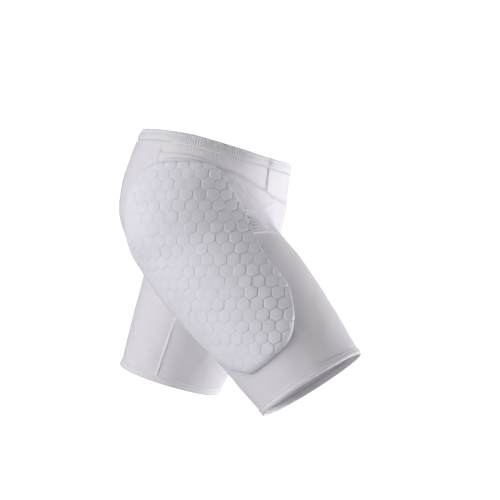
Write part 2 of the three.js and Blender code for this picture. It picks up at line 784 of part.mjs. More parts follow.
add('waistband', waistbandGeometry(), fabric(BAND_CLOTH, 0.85));
add('pouch_yoke', thicken(pouchSheet(), 0, -CLOTH), fabric(BODY_CLOTH, 0.8));
for (const [word, leg] of [['right', RIGHT], ['left', LEFT]]) {
  const cloth = (sheet) => thicken(sheet, 0, -CLOTH, SEAM_GAP / 2, leg.side);
  const ridge = (sheet, trim) => (
    thicken(sheet, SEAM_GAP + SEAM_RIDGE, SEAM_GAP, trim, leg.side));
  add(`front_yoke_${word}`, cloth(yokeSheet(leg)), fabric(BODY_CLOTH, 0.8));
  add(`${word}_body_panel`, cloth(bodySheet(leg)), fabric(BODY_CLOTH, 0.8));
  add(`${word}_hem`, hemGeometry(leg), fabric(BAND_CLOTH, 0.85));
  add(`${word}_inseam`, ridge(inseamSheet(leg), 0), fabric(BODY_CLOTH, 0.8));
  add(`${word}_pad_binding`, ridge(bindingSheet(leg), SEAM_GAP), fabric(BAND_CLOTH, 0.85));
  add(`${word}_hex_pad`, padGeometry(leg), fabric(PAD_FOAM, 0.9));
}

export default shorts;
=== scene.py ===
"""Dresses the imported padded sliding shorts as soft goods.

Sizes are in millimetres until a mesh is made. The surface is the same body form as in the CAD
source: a pelvis and two thighs blended together, zero on the outer face of the cloth.
"""

import math

import bpy
import numpy as np
from mathutils import Matrix


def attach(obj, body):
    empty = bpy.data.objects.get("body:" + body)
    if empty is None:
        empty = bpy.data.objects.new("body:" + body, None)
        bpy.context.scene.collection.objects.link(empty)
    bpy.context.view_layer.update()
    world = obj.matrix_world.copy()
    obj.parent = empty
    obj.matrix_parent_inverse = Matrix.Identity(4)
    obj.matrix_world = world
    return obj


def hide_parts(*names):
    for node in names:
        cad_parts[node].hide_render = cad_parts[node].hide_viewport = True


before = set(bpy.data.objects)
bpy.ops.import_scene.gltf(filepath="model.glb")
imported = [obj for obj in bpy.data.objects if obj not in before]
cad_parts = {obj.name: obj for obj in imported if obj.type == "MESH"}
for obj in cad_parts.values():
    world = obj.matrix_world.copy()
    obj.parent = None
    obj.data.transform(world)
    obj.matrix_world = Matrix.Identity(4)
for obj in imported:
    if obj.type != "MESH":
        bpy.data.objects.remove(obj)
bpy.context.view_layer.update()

# Body form, as in the CAD source
HIP_BREADTH = 340
HIP_DEPTH = 240
RISE = 205
PELVIS_TILT = math.radians(11.2)
WAIST_DIP = 5
SIDE_DIP = 1.6
THIGH = 176
LEG_LENGTH = 262
HIP_SPREAD = 85
THIGH_FADE = 50
TRUNK_BLEND = 34
CROTCH_BLEND = 30
HIP_DOWN = 0.585
HIP_FORWARD = 0.03
LEGS_PART = 0.60
WAISTBAND = 14.8
HEM = 10
MIDDLE_MARGIN = 1.5

# down, half, front, back, square
PELVIS = [
    (-0.10, 0.425, 0.430, 0.425, 2.10),
    (0.00, 0.425, 0.435, 0.430, 2.10),
    (0.07, 0.431, 0.440, 0.450, 2.10),
    (0.25, 0.452, 0.450, 0.475, 2.15),
    (0.45, 0.482, 0.450, 0.480, 2.20),
    (0.62, 0.488, 0.435, 0.447, 2.20),
    (0.80, 0.420, 0.395, 0.350, 2.20),
    (0.94, 0.270, 0.300, 0.220, 2.10),
    (1.02, 0.120, 0.170, 0.080, 2.00),
]
# along, half, front, back
THIGHS = [
    (-0.20, 0.440, 0.400, 0.420),
    (0.00, 0.485, 0.475, 0.495),
    (0.25, 0.495, 0.507, 0.500),
    (0.50, 0.480, 0.517, 0.475),
    (0.75, 0.455, 0.486, 0.450),
    (1.00, 0.428, 0.437, 0.420),
    (1.20, 0.400, 0.408, 0.400),
]
# angle in degrees from the centre front, share of the rise
YOKE_SEAM = [
    (0, 0.284), (24, 0.271), (37.5, 0.243), (50, 0.211), (58, 0.191), (67, 0.172), (77, 0.170),
    (88, 0.167), (106, 0.205),
]
BINDING_SEAM = [(76, 0.143), (92, 0.141), (106, 0.150)]
FRONT_SEAM = 37.5
YOKE_END = 106
BINDING_START = 75.6
BAND_DOWN = WAISTBAND / RISE

# Hip pads, as in the CAD source
PAD_LENGTH = 281
PAD_WIDTH = 256
PAD_TOP = 37
PAD_BACK_LINE = 40
HEX_PITCH = 16.5
HEX_SIDE = HEX_PITCH / math.sqrt(3)
HEX_START = 0.35 * HEX_PITCH
PAD_OUTLINE = [
    (-0.35, 0.005), (-0.22, 0.000), (-0.11, 0.006), (-0.04, 0.024), (0.008, 0.064),
    (0.070, 0.140), (0.138, 0.240), (0.186, 0.345), (0.256, 0.465), (0.362, 0.580),
    (0.402, 0.680), (0.408, 0.770), (0.388, 0.845), (0.330, 0.905), (0.262, 0.955),
    (0.180, 0.992), (0.100, 0.985), (0.000, 0.965), (-0.110, 0.915), (-0.240, 0.825),
    (-0.370, 0.710), (-0.490, 0.580), (-0.560, 0.440), (-0.580, 0.300), (-0.555, 0.160),
    (-0.470, 0.055),
]

# Camera: how the photograph sees the shorts
VIEW_TURN = math.radians(12)
VIEW_RISE = math.radians(-3)
VIEW_DISTANCE = 2300
VIEW_SCALE = 1.42              # millimetres to a pixel at the origin's depth
IMAGE_SIZE = 500
IMAGE_MIDDLE = IMAGE_SIZE / 2
SENSOR = 36
ORIGIN_SEEN = (217.5, 146.5)   # the pixel of the waist's centre

CLOTH = 1.3                    # thickness of the knit
TO_METRES = 0.001
TRUNK_DEGREE = 2.45            # millimetres of knit to a degree round the trunk


def unit(v):
    return v / np.linalg.norm(v, axis=-1, keepdims=True)


def smoothstep(x, low, high):
    t = np.clip((x - low) / (high - low), 0, 1)
    return t * t * (3 - 2 * t)


def bump(x, middle, width):
    return np.exp(-(((x - middle) / width) ** 2))


def hermite(u, a, slope_a, b, slope_b):
    """The values of a smooth curve at the shares u of its way from a to b."""
    leaving = a * (1 + 2 * u) * (1 - u) ** 2 + slope_a * u * (1 - u) ** 2
    return leaving + b * u * u * (3 - 2 * u) + slope_b * u * u * (u - 1)


def running(steps):
    return np.concatenate([[0], np.cumsum(steps)])


def ring_pairs(items):
    """Each item of a closed ring with the next one."""
    return list(zip(items, items[1:] + items[:1]))


def tabulated(table):
    """Reads a table along its first column, with slopes that keep the curve smooth."""
    table = np.array(table, float)
    at, values = table[:, 0], table[:, 1:]
    rise = np.diff(values, axis=0) / np.diff(at)[:, None]
    slope = np.vstack([rise[:1], (rise[1:] + rise[:-1]) / 2, rise[-1:]])
    fine = np.linspace(at[0], at[-1], 301)
    i = np.clip(np.searchsorted(at, fine, side="right") - 1, 0, len(at) - 2)
    width = (at[i + 1] - at[i])[:, None]
    u = (fine - at[i])[:, None] / width
    dense = hermite(u, values[i], slope[i] * width, values[i + 1], slope[i + 1] * width)
    return lambda t: [np.interp(t, fine, column) for column in dense.T]


FRONT = np.array([0, -math.cos(PELVIS_TILT), -math.sin(PELVIS_TILT)])
DOWN = np.array([0, math.sin(PELVIS_TILT), -math.cos(PELVIS_TILT)])
pelvis_section = tabulated(PELVIS)
thigh_section = tabulated(THIGHS)
yoke_table = tabulated(YOKE_SEAM)
binding_table = tabulated(BINDING_SEAM)


class Leg:
    """A leg's frame: hip point, axis, outward and front."""

    def __init__(self, word, side, flex, abduct, share, lean, tilt):
        flex, abduct = math.radians(flex), math.radians(abduct)
        self.word, self.side, self.flex = word, side, flex
        self.lean, self.tilt = math.radians(lean), math.radians(tilt)
        self.axis = np.array([
            side * math.sin(abduct),
            -math.sin(flex) * math.cos(abduct),
            -math.cos(flex) * math.cos(abduct),
        ])
        outward = np.array([side, 0.0, 0.0])
        self.outward = unit(outward - self.axis * (outward @ self.axis))
        front = np.cross(self.axis, self.outward) * side
        self.front = -front if front[1] > 0 else front
        self.hip = np.array([side * HIP_SPREAD, 0, 0]) + DOWN * HIP_DOWN * RISE
        self.hip = self.hip + FRONT * HIP_FORWARD * HIP_DEPTH
        self.reach = LEG_LENGTH * share


RIGHT = Leg("right", side=-1, flex=39, abduct=8.5, share=1.064, lean=-6, tilt=7)
LEFT = Leg("left", side=1, flex=-21.5, abduct=6, share=0.88, lean=4, tilt=4)
LEGS = (RIGHT, LEFT)


def pelvis_field(p):
    down = p @ DOWN / RISE
    half, front, back, square = pelvis_section(down)
    x, y = p[:, 0], p @ FRONT
    depth = np.where(y > 0, front, back) * HIP_DEPTH
    r = np.abs(x / (half * HIP_BREADTH)) ** square + np.abs(y / depth) ** square
    r = r ** (1 / square) + 1e-9
    f = (np.hypot(x, y) + 1e-9) * (1 - 1 / r)
    over = np.maximum(0, down - PELVIS[-1][0]) * RISE
    return np.where(over > 0, np.hypot(np.maximum(f, 0), over), f)


def leg_field(p, leg):
    d = p - leg.hip
    along = d @ leg.axis
    half, front, back = thigh_section(along / leg.reach)
    x, y = d @ leg.outward, d @ leg.front
    depth = np.where(y > 0, front, back) * THIGH
    r = np.hypot(x / (half * THIGH), y / depth) + 1e-9
    over = np.maximum(0, -along)
    return np.maximum(np.hypot(x, y) * (1 - 1 / r), -THIGH_FADE) + over**2 / (2 * THIGH_FADE)


def blend(a, b, reach):
    h = np.maximum(reach - np.abs(a - b), 0) / reach
    return np.minimum(a, b) - h * h * reach / 4


def body_field(p):
    legs = blend(leg_field(p, RIGHT), leg_field(p, LEFT), CROTCH_BLEND)
    return blend(pelvis_field(p), legs, TRUNK_BLEND)


def first_change(origin, direction, start, reach, steps, leaving=True):
    """The first point along each ray where it leaves the form, or else enters it."""
    origin, direction = np.broadcast_arrays(np.atleast_2d(origin), np.atleast_2d(direction))
    step = (reach - start) / steps
    low = np.full(len(origin), float(reach - step))
    high = np.full(len(origin), float(reach))
    found = np.zeros(len(origin), bool)
    for i in range(1, steps + 1):
        t = start + step * i
        past = (body_field(origin + direction * t) > 0) == leaving
        new = past & ~found
        low[new], high[new] = t - step, t
        found |= past
    for _ in range(14):
        middle = (low + high) / 2
        past = (body_field(origin + direction * middle[:, None]) > 0) == leaving
        high = np.where(past, middle, high)
        low = np.where(past, low, middle)
    return origin + direction * high[:, None]


def leave(origin, direction, reach=1.1 * HIP_DEPTH):
    return first_change(origin, direction, 0, reach, 48)


def normal_at(p):
    e = 0.4
    columns = []
    for axis in np.eye(3) * e:
        columns.append(body_field(p + axis) - body_field(p - axis))
    n = np.stack(columns, axis=1)
    n[np.abs(p[:, 0]) < 0.01, 0] = 0
    return unit(n)


def settle(p, times=3):
    """Points near the form, moved onto it."""
    for _ in range(times):
        n = normal_at(p)
        steep = body_field(p + n * 0.5) - body_field(p - n * 0.5)
        p = p - n * (body_field(p) / np.maximum(steep, 0.3))[:, None]
    return p


def waist_dip(turn):
    return WAIST_DIP * np.maximum(0, np.cos(turn)) * (1 + SIDE_DIP * np.sin(turn))


def trunk_point(side, angle, down):
    """angle is in degrees from the centre front over the given side, down a share of the rise."""
    angle, down = np.broadcast_arrays(np.asarray(angle, float), np.asarray(down, float))
    shape = angle.shape
    turn, down = np.radians(angle).ravel(), down.ravel()
    origin = DOWN * (down * RISE + waist_dip(turn) * (1 - down / LEGS_PART))[:, None]
    direction = FRONT * np.cos(turn)[:, None]
    direction = direction + np.outer(np.sin(turn), [side, 0, 0])
    return leave(origin, direction).reshape(*shape, 3)


def trunk_place(p):
    """The angle in degrees, the share of the rise and the radius of points on the trunk."""
    along, x, y = p @ DOWN, p[:, 0], p @ FRONT
    turn = np.arctan2(np.abs(x), y)
    dip = waist_dip(turn)
    down = (along - dip) / (RISE - dip / LEGS_PART)
    return np.degrees(turn), down, np.hypot(x, y)


def thigh_point(leg, distance, turn):
    """A ray over the crotch would come out on the other leg, so it stays on this side."""
    origin = leg.hip + leg.axis * distance[:, None]
    direction = leg.outward * np.cos(turn)[:, None] - leg.front * np.sin(turn)[:, None]
    point = leave(origin, direction, 1.1 * THIGH)
    over = point[:, 0] * leg.side < MIDDLE_MARGIN
    if over.any():
        origin, direction = origin[over].copy(), direction[over].copy()
        origin[:, 0] = leg.side * MIDDLE_MARGIN
        direction[:, 0] = 0
        point[over] = leave(origin, unit(direction), 1.1 * THIGH)
    return point


def hem_lean(leg, turn):
    return THIGH * 0.43 * (math.tan(leg.lean) * np.sin(turn) + math.tan(leg.tilt) * np.cos(turn))


def leg_lines(leg, angles, crotch_columns):
    """The loop that a leg hangs from: half of the trunk's last ring and the crotch line."""
    ring = trunk_point(leg.side, angles, LEGS_PART)
    turn = math.pi + math.pi * np.arange(1, crotch_columns + 1) / (crotch_columns + 1)
    direction = FRONT * np.cos(turn)[:, None] - DOWN * np.sin(turn)[:, None]
    start = np.vstack([ring, leave(DOWN * LEGS_PART * RISE, direction)])
    d = start - leg.hip
    turns = np.unwrap(np.arctan2(-(d @ leg.front), d @ leg.outward))
    length = np.linalg.norm(np.diff(start, axis=0, append=start[:1]), axis=1)
    share = running(length[:-1]) / length.sum()
    even = 2 * math.pi * share
    even = even + (turns - even).mean()
    return start, d @ leg.axis, turns, even


def leg_rows(leg, lines, rows, end):
    """Points for each row, a share of the way from the loop to the distance end."""
    start, along, turns, even = lines
    result = [start]
    for down in rows[1:]:
        ease = down * down * (3 - 2 * down)
        distance = along * (1 - down) + (end + hem_lean(leg, even)) * down
        result.append(thigh_point(leg, distance, turns * (1 - ease) + even * ease))
    return np.array(result)


def graded(stops, step, fine, spread):
    """Positions through the stops, closer together near each of them."""
    result = [stops[0]]
    for a, b in zip(stops, stops[1:]):
        x = np.linspace(a, b, 500)
        gap = fine + (step - fine) * np.clip(np.minimum(x - a, b - x) / spread, 0, 1)
        count = running((x[1] - x[0]) / gap[:-1])
        n = max(2, round(count[-1]))
        result.extend(np.interp(np.linspace(0, count[-1], n + 1), count, x)[1:])
    return np.array(result)


# The camera's frame, and the point of the form that a pixel of the photograph shows
LOOK = np.array([
    math.cos(VIEW_TURN) * math.cos(VIEW_RISE),
    math.sin(VIEW_TURN) * math.cos(VIEW_RISE),
    -math.sin(VIEW_RISE),
])
LOOK_RIGHT = unit(np.cross(LOOK, [0, 0, 1]))
LOOK_UP = np.cross(LOOK_RIGHT, LOOK)
EYE = (
    -LOOK * VIEW_DISTANCE
    - LOOK_RIGHT * (ORIGIN_SEEN[0] - IMAGE_MIDDLE) * VIEW_SCALE
    + LOOK_UP * (ORIGIN_SEEN[1] - IMAGE_MIDDLE) * VIEW_SCALE
)


def seen(pixels):
    """Points of the form at pixels of the photograph."""
    pixels = np.atleast_2d(np.array(pixels, float))
    across = (pixels[:, 0] - IMAGE_MIDDLE) * VIEW_SCALE
    upward = (IMAGE_MIDDLE - pixels[:, 1]) * VIEW_SCALE
    direction = LOOK * VIEW_DISTANCE + LOOK_RIGHT * across[:, None] + LOOK_UP * upward[:, None]
    return first_change(EYE, unit(direction), 1900, 2600, 200, leaving=False)


# Folds that the photograph shows, from pixel to pixel, with their width and height
CREASE_FOLDS = [
    (244, 209.5, 262, 214.5, 0.9, 1.0),
    (245, 212.4, 259, 216.5, 0.8, 1.0),
    (248, 218.6, 262, 221.2, 0.8, 2.1),
    (249, 221.4, 264, 223.6, 0.8, 2.3),
    (250, 224.4, 267, 226.2, 0.8, 2.3),
    (251, 227.2, 268, 228.4, 0.8, 2.2),
    (252, 230.0, 270, 230.6, 0.8, 1.9),
    (253, 232.6, 274, 232.4, 0.9, 1.3),
]
CREASE_PLACE = (258, 221)   # the pixel in their middle
CREASE_REACH = 26           # millimetres of finer mesh round it
FOLD_REACH = 90             # millimetres from it within which folds are looked for
FOLD_GAIN = 1.8
SOFT_FOLDS = [
    (226, 174, 243, 190, 1.8, 1.1),
    (230, 173, 256, 191, 1.8, 0.9),
    (231, 182, 246, 201, 1.7, 1.0),
    (238, 184, 254, 205, 1.8, 1.0),
    (246, 188, 262, 208, 1.8, 0.9),
    (254, 191, 271, 206, 1.8, 0.8),
    (262, 210, 274, 204, 1.8, 0.7),
    (258, 214, 272, 224, 1.8, 0.7),
]


def fold_lines(rows):
    """Each fold's two ends on the form, its width and its height."""
    ends = seen([row[:2] for row in rows] + [row[2:4] for row in rows])
    half = len(rows)
    return [(ends[i], ends[half + i], rows[i][4], rows[i][5]) for i in range(half)]


fine_folds = fold_lines(CREASE_FOLDS)
soft_folds = fold_lines(SOFT_FOLDS)
crease_middle = seen([CREASE_PLACE])[0]


def fold_height(p, folds):
    """Ridges between pairs of points, measured along the form and not through it."""
    total = np.zeros(len(p))
    near = np.linalg.norm(p - crease_middle, axis=1) < FOLD_REACH
    if not near.any():
        return total
    p = p[near]
    n = normal_at(p)
    for a, b, width, height in folds:
        t = (p - a) @ (b - a) / ((b - a) @ (b - a))
        off = p - a - np.outer(np.clip(t, -0.2, 1.2), b - a)
        off = np.linalg.norm(off - n * (off * n).sum(axis=1)[:, None], axis=1)
        ends = smoothstep(t, -0.12, 0.15) * (1 - smoothstep(t, 0.75, 1.15))
        total[near] += height * ends * bump(off, 0, width)
    return total


WAVES = [
    (0.11, 0.05, 0.09, 0.4, 0.16),
    (-0.07, 0.12, 0.06, 1.9, 0.14),
    (0.05, -0.09, 0.13, 3.1, 0.14),
    (0.19, 0.16, -0.08, 5.2, 0.07),
    (-0.15, 0.21, 0.17, 2.4, 0.05),
]


def unevenness(p):
    """The slight waviness of cloth that is stretched over a body."""
    total = np.zeros(len(p))
    for x, y, z, phase, height in WAVES:
        bent = p @ np.array([x, y, z]) + phase + 0.8 * np.sin(p @ np.array([z, x, y]) * 0.6)
        total += height * np.sin(bent)
    return total


def seam(distance, depth=0.8, lip=0.35):
    """A seam's profile: a narrow valley between two soft lips."""
    return -depth * bump(distance, 0, 0.75) + lip * bump(np.abs(distance), 2.3, 1.3)


def gathers(angle, down):
    """Fine upright ribs where elastic draws the cloth together over the hip."""
    drawn = smoothstep(angle, 50, 64) * (1 - smoothstep(angle, 96, 112))
    drawn = 0.10 + 0.34 * drawn + 0.2 * bump(angle, FRONT_SEAM - 3, 3)
    ribs = np.cos(np.radians(angle) * 275 + 1.5 * np.sin(np.radians(angle) * 31))
    return drawn * ribs * (1 - smoothstep(down, 0.07, 0.165))


def relief(p):
    """How far the cloth stands out over the form at points of it."""
    angle, down, radius = trunk_place(p)
    degree = radius * math.pi / 180
    yoke_down = yoke_table(angle)[0]
    slope = (yoke_table(angle + 1)[0] - yoke_table(angle - 1)[0]) / 2 * RISE / degree
    to_yoke = (down - yoke_down) * RISE / np.sqrt(1 + slope**2)
    above = 1 - smoothstep(down - yoke_down, 0, 0.012)
    front_of_end = 1 - smoothstep(angle, YOKE_END - 1, YOKE_END + 2)
    h = (seam(to_yoke, depth=1.6, lip=0.6) - 1.8 * bump(to_yoke, 0, 1.3)) * front_of_end
    h = h * (angle < BINDING_START + 1)
    h += seam((angle - FRONT_SEAM) * degree, depth=1.6, lip=0.4) * above
    upright = smoothstep(down, 0.10, 0.14) * (1 - smoothstep(down, 0.20, 0.25))
    h += 1.5 * bump((angle - YOKE_END - 0.6) * degree, 0, 1.9) * upright
    under_band = (down - BAND_DOWN) * RISE
    h += -1.6 * bump(under_band, 0, 1.5)
    to_binding = (down - binding_table(angle)[0]) * RISE
    along_binding = smoothstep(angle, BINDING_START, BINDING_START + 8) * front_of_end
    h += -2.2 * bump(to_binding, -0.5, 1.3) * along_binding
    centre = seam(np.abs(p[:, 0]), depth=0.7, lip=0.35)
    h += centre * smoothstep(down, BAND_DOWN, 0.1) * (down > yoke_down) * (np.abs(p[:, 0]) < 8)
    h += gathers(angle, down)
    h += unevenness(p) * smoothstep(down, 0.08, 0.3)
    h += FOLD_GAIN * fold_height(p, soft_folds) + FOLD_GAIN * fold_height(p, fine_folds)
    return h


# Meshes
def grid_uv(across, down):
    return np.stack(np.broadcast_arrays(across, down), axis=-1)


def grid_faces(index, closed=False, keep=None):
    """Quads over a grid of vertex numbers. closed joins the last column to the first."""
    if closed:
        index = np.hstack([index, index[:, :1]])
    a, b = index[:-1, :-1], index[:-1, 1:]
    c, d = index[1:, 1:], index[1:, :-1]
    faces = np.stack([a, b, c, d], axis=-1)
    return faces[keep] if keep is not None else faces.reshape(-1, 4)


def border_edges(faces):
    """The directed edges that only one face has."""
    edges = {edge: True for face in faces for edge in ring_pairs(list(face))}
    return [(a, b) for a, b in edges if (b, a) not in edges]


def new_object(name, points, faces, uv=None, sharp=(), smooth=True):
    mesh = bpy.data.meshes.new(name)
    mesh.from_pydata((np.asarray(points) * TO_METRES).tolist(), [], [list(map(int, f)) for f in faces])
    if uv is not None:
        layer = mesh.uv_layers.new(name="UVMap")
        corners = np.zeros(len(mesh.loops), np.int32)
        mesh.loops.foreach_get("vertex_index", corners)
        layer.data.foreach_set("uv", np.asarray(uv, np.float32)[corners].ravel())
    mesh.polygons.foreach_set("use_smooth", [smooth] * len(mesh.polygons))
    if len(sharp):
        lookup = {tuple(sorted(e)): True for e in sharp}
        marked = [tuple(sorted(e.vertices)) in lookup for e in mesh.edges]
        mesh.edges.foreach_set("use_edge_sharp", marked)
    mesh.validate()
    mesh.update()
    obj = bpy.data.objects.new(name, mesh)
    bpy.context.scene.collection.objects.link(obj)
    return obj


def outward_faces(points, faces):
    """Turns all faces over if the closed mesh is inside out."""
    volume = 0.0
    for face in faces:
        for i in range(1, len(face) - 1):
            a, b, c = points[face[0]], points[face[i]], points[face[i + 1]]
            volume += a @ np.cross(b, c)
    return [tuple(reversed(face)) if volume < 0 else tuple(face) for face in faces]


def refine(points, faces, uv, near, parts=4):
    """Splits the quads that touch a near point into parts by parts smaller ones."""
    points, uv = list(points), list(uv)
    split = {}
    shares = np.arange(1, parts) / parts

    def add(weights, corners):
        points.append(sum(w * points[c] for w, c in zip(weights, corners)))
        uv.append(sum(w * uv[c] for w, c in zip(weights, corners)))
        return len(points) - 1

    def between(a, b):
        key = (min(a, b), max(a, b))
        if key not in split:
            split[key] = [add((1 - t, t), key) for t in shares]
        return split[key] if a < b else split[key][::-1]

    result, rest = [], []
    for face in faces:
        if not near[list(face)].any():
            rest.append(face)
            continue
        a, b, c, d = face
        grid = [[a, *between(a, b), b]]
        for t, left, right in zip(shares, between(a, d), between(b, c)):
            row = [add(((1 - t) * (1 - s), (1 - t) * s, t * s, t * (1 - s)), face) for s in shares]
            grid.append([left, *row, right])
        grid.append([d, *between(d, c), c])
        result += [tuple(f) for f in grid_faces(np.array(grid))]
    for face in rest:
        loop = []
        for a, b in ring_pairs(list(face)):
            loop.append(a)
            if (min(a, b), max(a, b)) in split:
                loop += between(a, b)
        result.append(tuple(loop))
    points = np.array(points)
    new = np.arange(len(near), len(points))
    points[new] = settle(points[new])
    return points, result, np.array(uv)


def shell(name, points, faces, uv, top, thickness=CLOTH):
    """A closed sheet: its outer face stands top over the form, its inner one lies under that."""
    used = np.unique(np.concatenate([np.asarray(face) for face in faces]))
    renumber = np.full(len(points), -1)
    renumber[used] = np.arange(len(used))
    points, uv = points[used], uv[used]
    faces = [tuple(renumber[list(face)]) for face in faces]
    normals = normal_at(points)
    height = top(points) if callable(top) else top[used]
    outer = points + normals * height[:, None]
    inner = points + normals * (np.minimum(height, 0.5) - thickness)[:, None]
    count = len(points)
    rim = border_edges(faces)
    walls = [(b, a, a + count, b + count) for a, b in rim]
    all_faces = [tuple(f) for f in faces]
    all_faces += [tuple(v + count for v in reversed(f)) for f in all_faces]
    all_faces += walls
    everything = np.vstack([outer, inner])
    sharp = list(rim) + [(a + count, b + count) for a, b in rim]
    all_faces = outward_faces(everything, all_faces)
    return new_object(name, everything, all_faces, np.vstack([uv, uv]), sharp)


def grid_shell(name, points, uv, top, thickness=CLOTH):
    """A shell over a whole grid of points."""
    index = np.arange(points[..., 0].size).reshape(points.shape[:-1])
    points, uv = points.reshape(-1, 3), uv.reshape(-1, 2)
    return shell(name, points, grid_faces(index), uv, top, thickness)


def tube(name, columns, across, section):
    """A closed ring, with a column of points round the opening for each point of a section."""
    points = np.stack(columns, axis=1)
    index = np.arange(points[..., 0].size).reshape(points.shape[:-1])
    index = np.vstack([index, index[:1]])
    faces = [tuple(f) for f in grid_faces(index, closed=True)]
    points = points.reshape(-1, 3)
    uv = grid_uv(across[:, None], [down for down, _ in section])
    return new_object(name, points, outward_faces(points, faces), uv.reshape(-1, 2))


ANGLES = graded([0, FRONT_SEAM, YOKE_END, 180], step=1.05, fine=0.24, spread=3.5)
SEAM_COLUMN = int(np.argmin(np.abs(ANGLES - FRONT_SEAM)))
END_COLUMN = int(np.argmin(np.abs(ANGLES - YOKE_END)))
GATHER_ANGLES = np.unique(np.concatenate([
    ANGLES[SEAM_COLUMN:END_COLUMN + 1],
    np.arange(50, 104, 0.22),
]))
YOKE_ROWS = graded([0, 1], step=0.06, fine=0.014, spread=0.12)
SEAT_ROWS = graded([0, 1], step=0.032, fine=0.007, spread=0.06)
LEG_ROWS = graded([0, 1], step=0.0125, fine=0.003, spread=0.04)
CROTCH_COLUMNS = 54


def rows_down(angles):
    """Shares of the rise for the rows over the yoke seam and for those under it."""
    line = yoke_table(angles)[0]
    upper = BAND_DOWN + (line - BAND_DOWN) * YOKE_ROWS[:, None]
    lower = line + (LEGS_PART - line) * SEAT_ROWS[:, None]
    return upper, lower


def trunk_uv(angles, down):
    return grid_uv(angles * TRUNK_DEGREE, down * RISE)


def yoke(name, side, angles):
    upper, _ = rows_down(angles)
    return grid_shell(name, trunk_point(side, angles, upper), trunk_uv(angles, upper), relief)


def pouch(name):
    angles = ANGLES[:SEAM_COLUMN + 1]
    upper, _ = rows_down(angles)
    halves = [trunk_point(side, angles, upper) for side in (-1, 1)]
    points = np.hstack([halves[0][:, ::-1], halves[1][:, 1:]])
    both = np.concatenate([-angles[::-1], angles[1:]])
    down = np.hstack([upper[:, ::-1], upper[:, 1:]])
    return grid_shell(name, points, trunk_uv(both, down), relief)


def body(name, leg):
    """Half of the trunk under the yoke seam and behind the yoke, and its leg."""
    upper, lower = rows_down(ANGLES)
    down = np.vstack([upper, lower[1:]])
    trunk = trunk_point(leg.side, ANGLES, down)
    index = np.arange(down.size).reshape(down.shape)
    keep = np.ones((index.shape[0] - 1, index.shape[1] - 1), bool)
    keep[:len(YOKE_ROWS) - 1, :END_COLUMN] = False
    faces = [grid_faces(index, keep=keep)]
    uv = [trunk_uv(ANGLES, down).reshape(-1, 2)]
    lines = leg_lines(leg, ANGLES, CROTCH_COLUMNS)
    rows = leg_rows(leg, lines, LEG_ROWS, leg.reach - HEM)
    columns = rows.shape[1]
    leg_index = down.size + np.arange((len(rows) - 1) * columns).reshape(-1, columns)
    crotch = down.size + leg_index.size + np.arange(CROTCH_COLUMNS)
    leg_index = np.vstack([np.concatenate([index[-1], crotch]), leg_index])
    faces.append(grid_faces(leg_index, closed=True))
    points = np.vstack([trunk.reshape(-1, 3), rows[1:].reshape(-1, 3), rows[0, len(ANGLES):]])
    across = np.concatenate([ANGLES, 180 + np.arange(CROTCH_COLUMNS) * 2.4 / TRUNK_DEGREE])
    leg_down = LEGS_PART * RISE + LEG_ROWS * leg.reach
    leg_uv = grid_uv(across * TRUNK_DEGREE, leg_down[:, None])
    uv += [leg_uv[1:].reshape(-1, 2), leg_uv[0, len(ANGLES):]]
    faces, uv = np.vstack(faces), np.vstack(uv)
    if leg is RIGHT:
        near = np.linalg.norm(points - crease_middle, axis=1) < CREASE_REACH
        points, faces, uv = refine(points, faces, uv, near)
    return shell(name, points, faces, uv, relief)


# down and out of each point round the section of a band
WAISTBAND_SECTION = [
    (0.7, -1.6), (0.0, -1.1), (-0.1, -0.3), (0.3, 0.5), (1.3, 1.0), (2.8, 1.1), (4.0, 0.95),
    (4.7, 0.55), (5.4, 0.95), (6.8, 1.35), (9.0, 1.5), (10.8, 1.4), (12.0, 1.0), (13.1, 0.3),
    (14.0, -0.5), (14.6, -1.1), (14.5, -1.7), (11.0, -1.9), (5.0, -1.9),
]
HEM_SECTION = [
    (0.0, -1.2), (0.0, -0.3), (0.3, 0.5), (0.9, 0.95), (1.5, 0.3), (2.1, 0.9), (3.0, 1.05),
    (3.6, 0.3), (4.2, 1.0), (5.6, 1.35), (7.4, 1.4), (8.8, 1.15), (9.6, 0.5), (10.1, -0.3),
    (10.0, -1.0), (9.2, -1.5), (5.0, -1.6),
]


def waistband(name):
    half = GATHER_ANGLES[(GATHER_ANGLES > 50) & (GATHER_ANGLES < 104)]
    half = np.unique(np.concatenate([np.arange(0, 180.1, 0.5), np.arange(33, 41, 0.2), half]))
    angles = np.concatenate([half, -half[1:-1][::-1]])
    side = np.where(angles < 0, 1, -1)
    columns = []
    for down, out in WAISTBAND_SECTION:
        point = np.empty((len(angles), 3))
        for s in (-1, 1):
            point[side == s] = trunk_point(s, np.abs(angles[side == s]), down / RISE)
        rib = gathers(np.abs(angles), 0)
        shown = max(0.0, min(1.0, out / 0.6))
        seam_line = 0.9 * bump((np.abs(angles) - FRONT_SEAM) * 2.3, 0, 0.8)
        lift = out + (rib - seam_line) * shown
        columns.append(point + normal_at(point) * lift[:, None])
    return tube(name, columns, angles * TRUNK_DEGREE, WAISTBAND_SECTION)


def hem(name, leg):
    turns = np.linspace(0, 2 * math.pi, 360, endpoint=False)
    columns = []
    for down, out in HEM_SECTION:
        distance = leg.reach - HEM + down + hem_lean(leg, turns)
        point = thigh_point(leg, distance, turns)
        pucker = 0.12 * np.sin(turns * 150) * bump(down, 2.5, 2.0) if out > 0 else 0 * turns
        columns.append(point + normal_at(point) * (out + pucker)[:, None])
    return tube(name, columns, turns * THIGH / 2, HEM_SECTION)


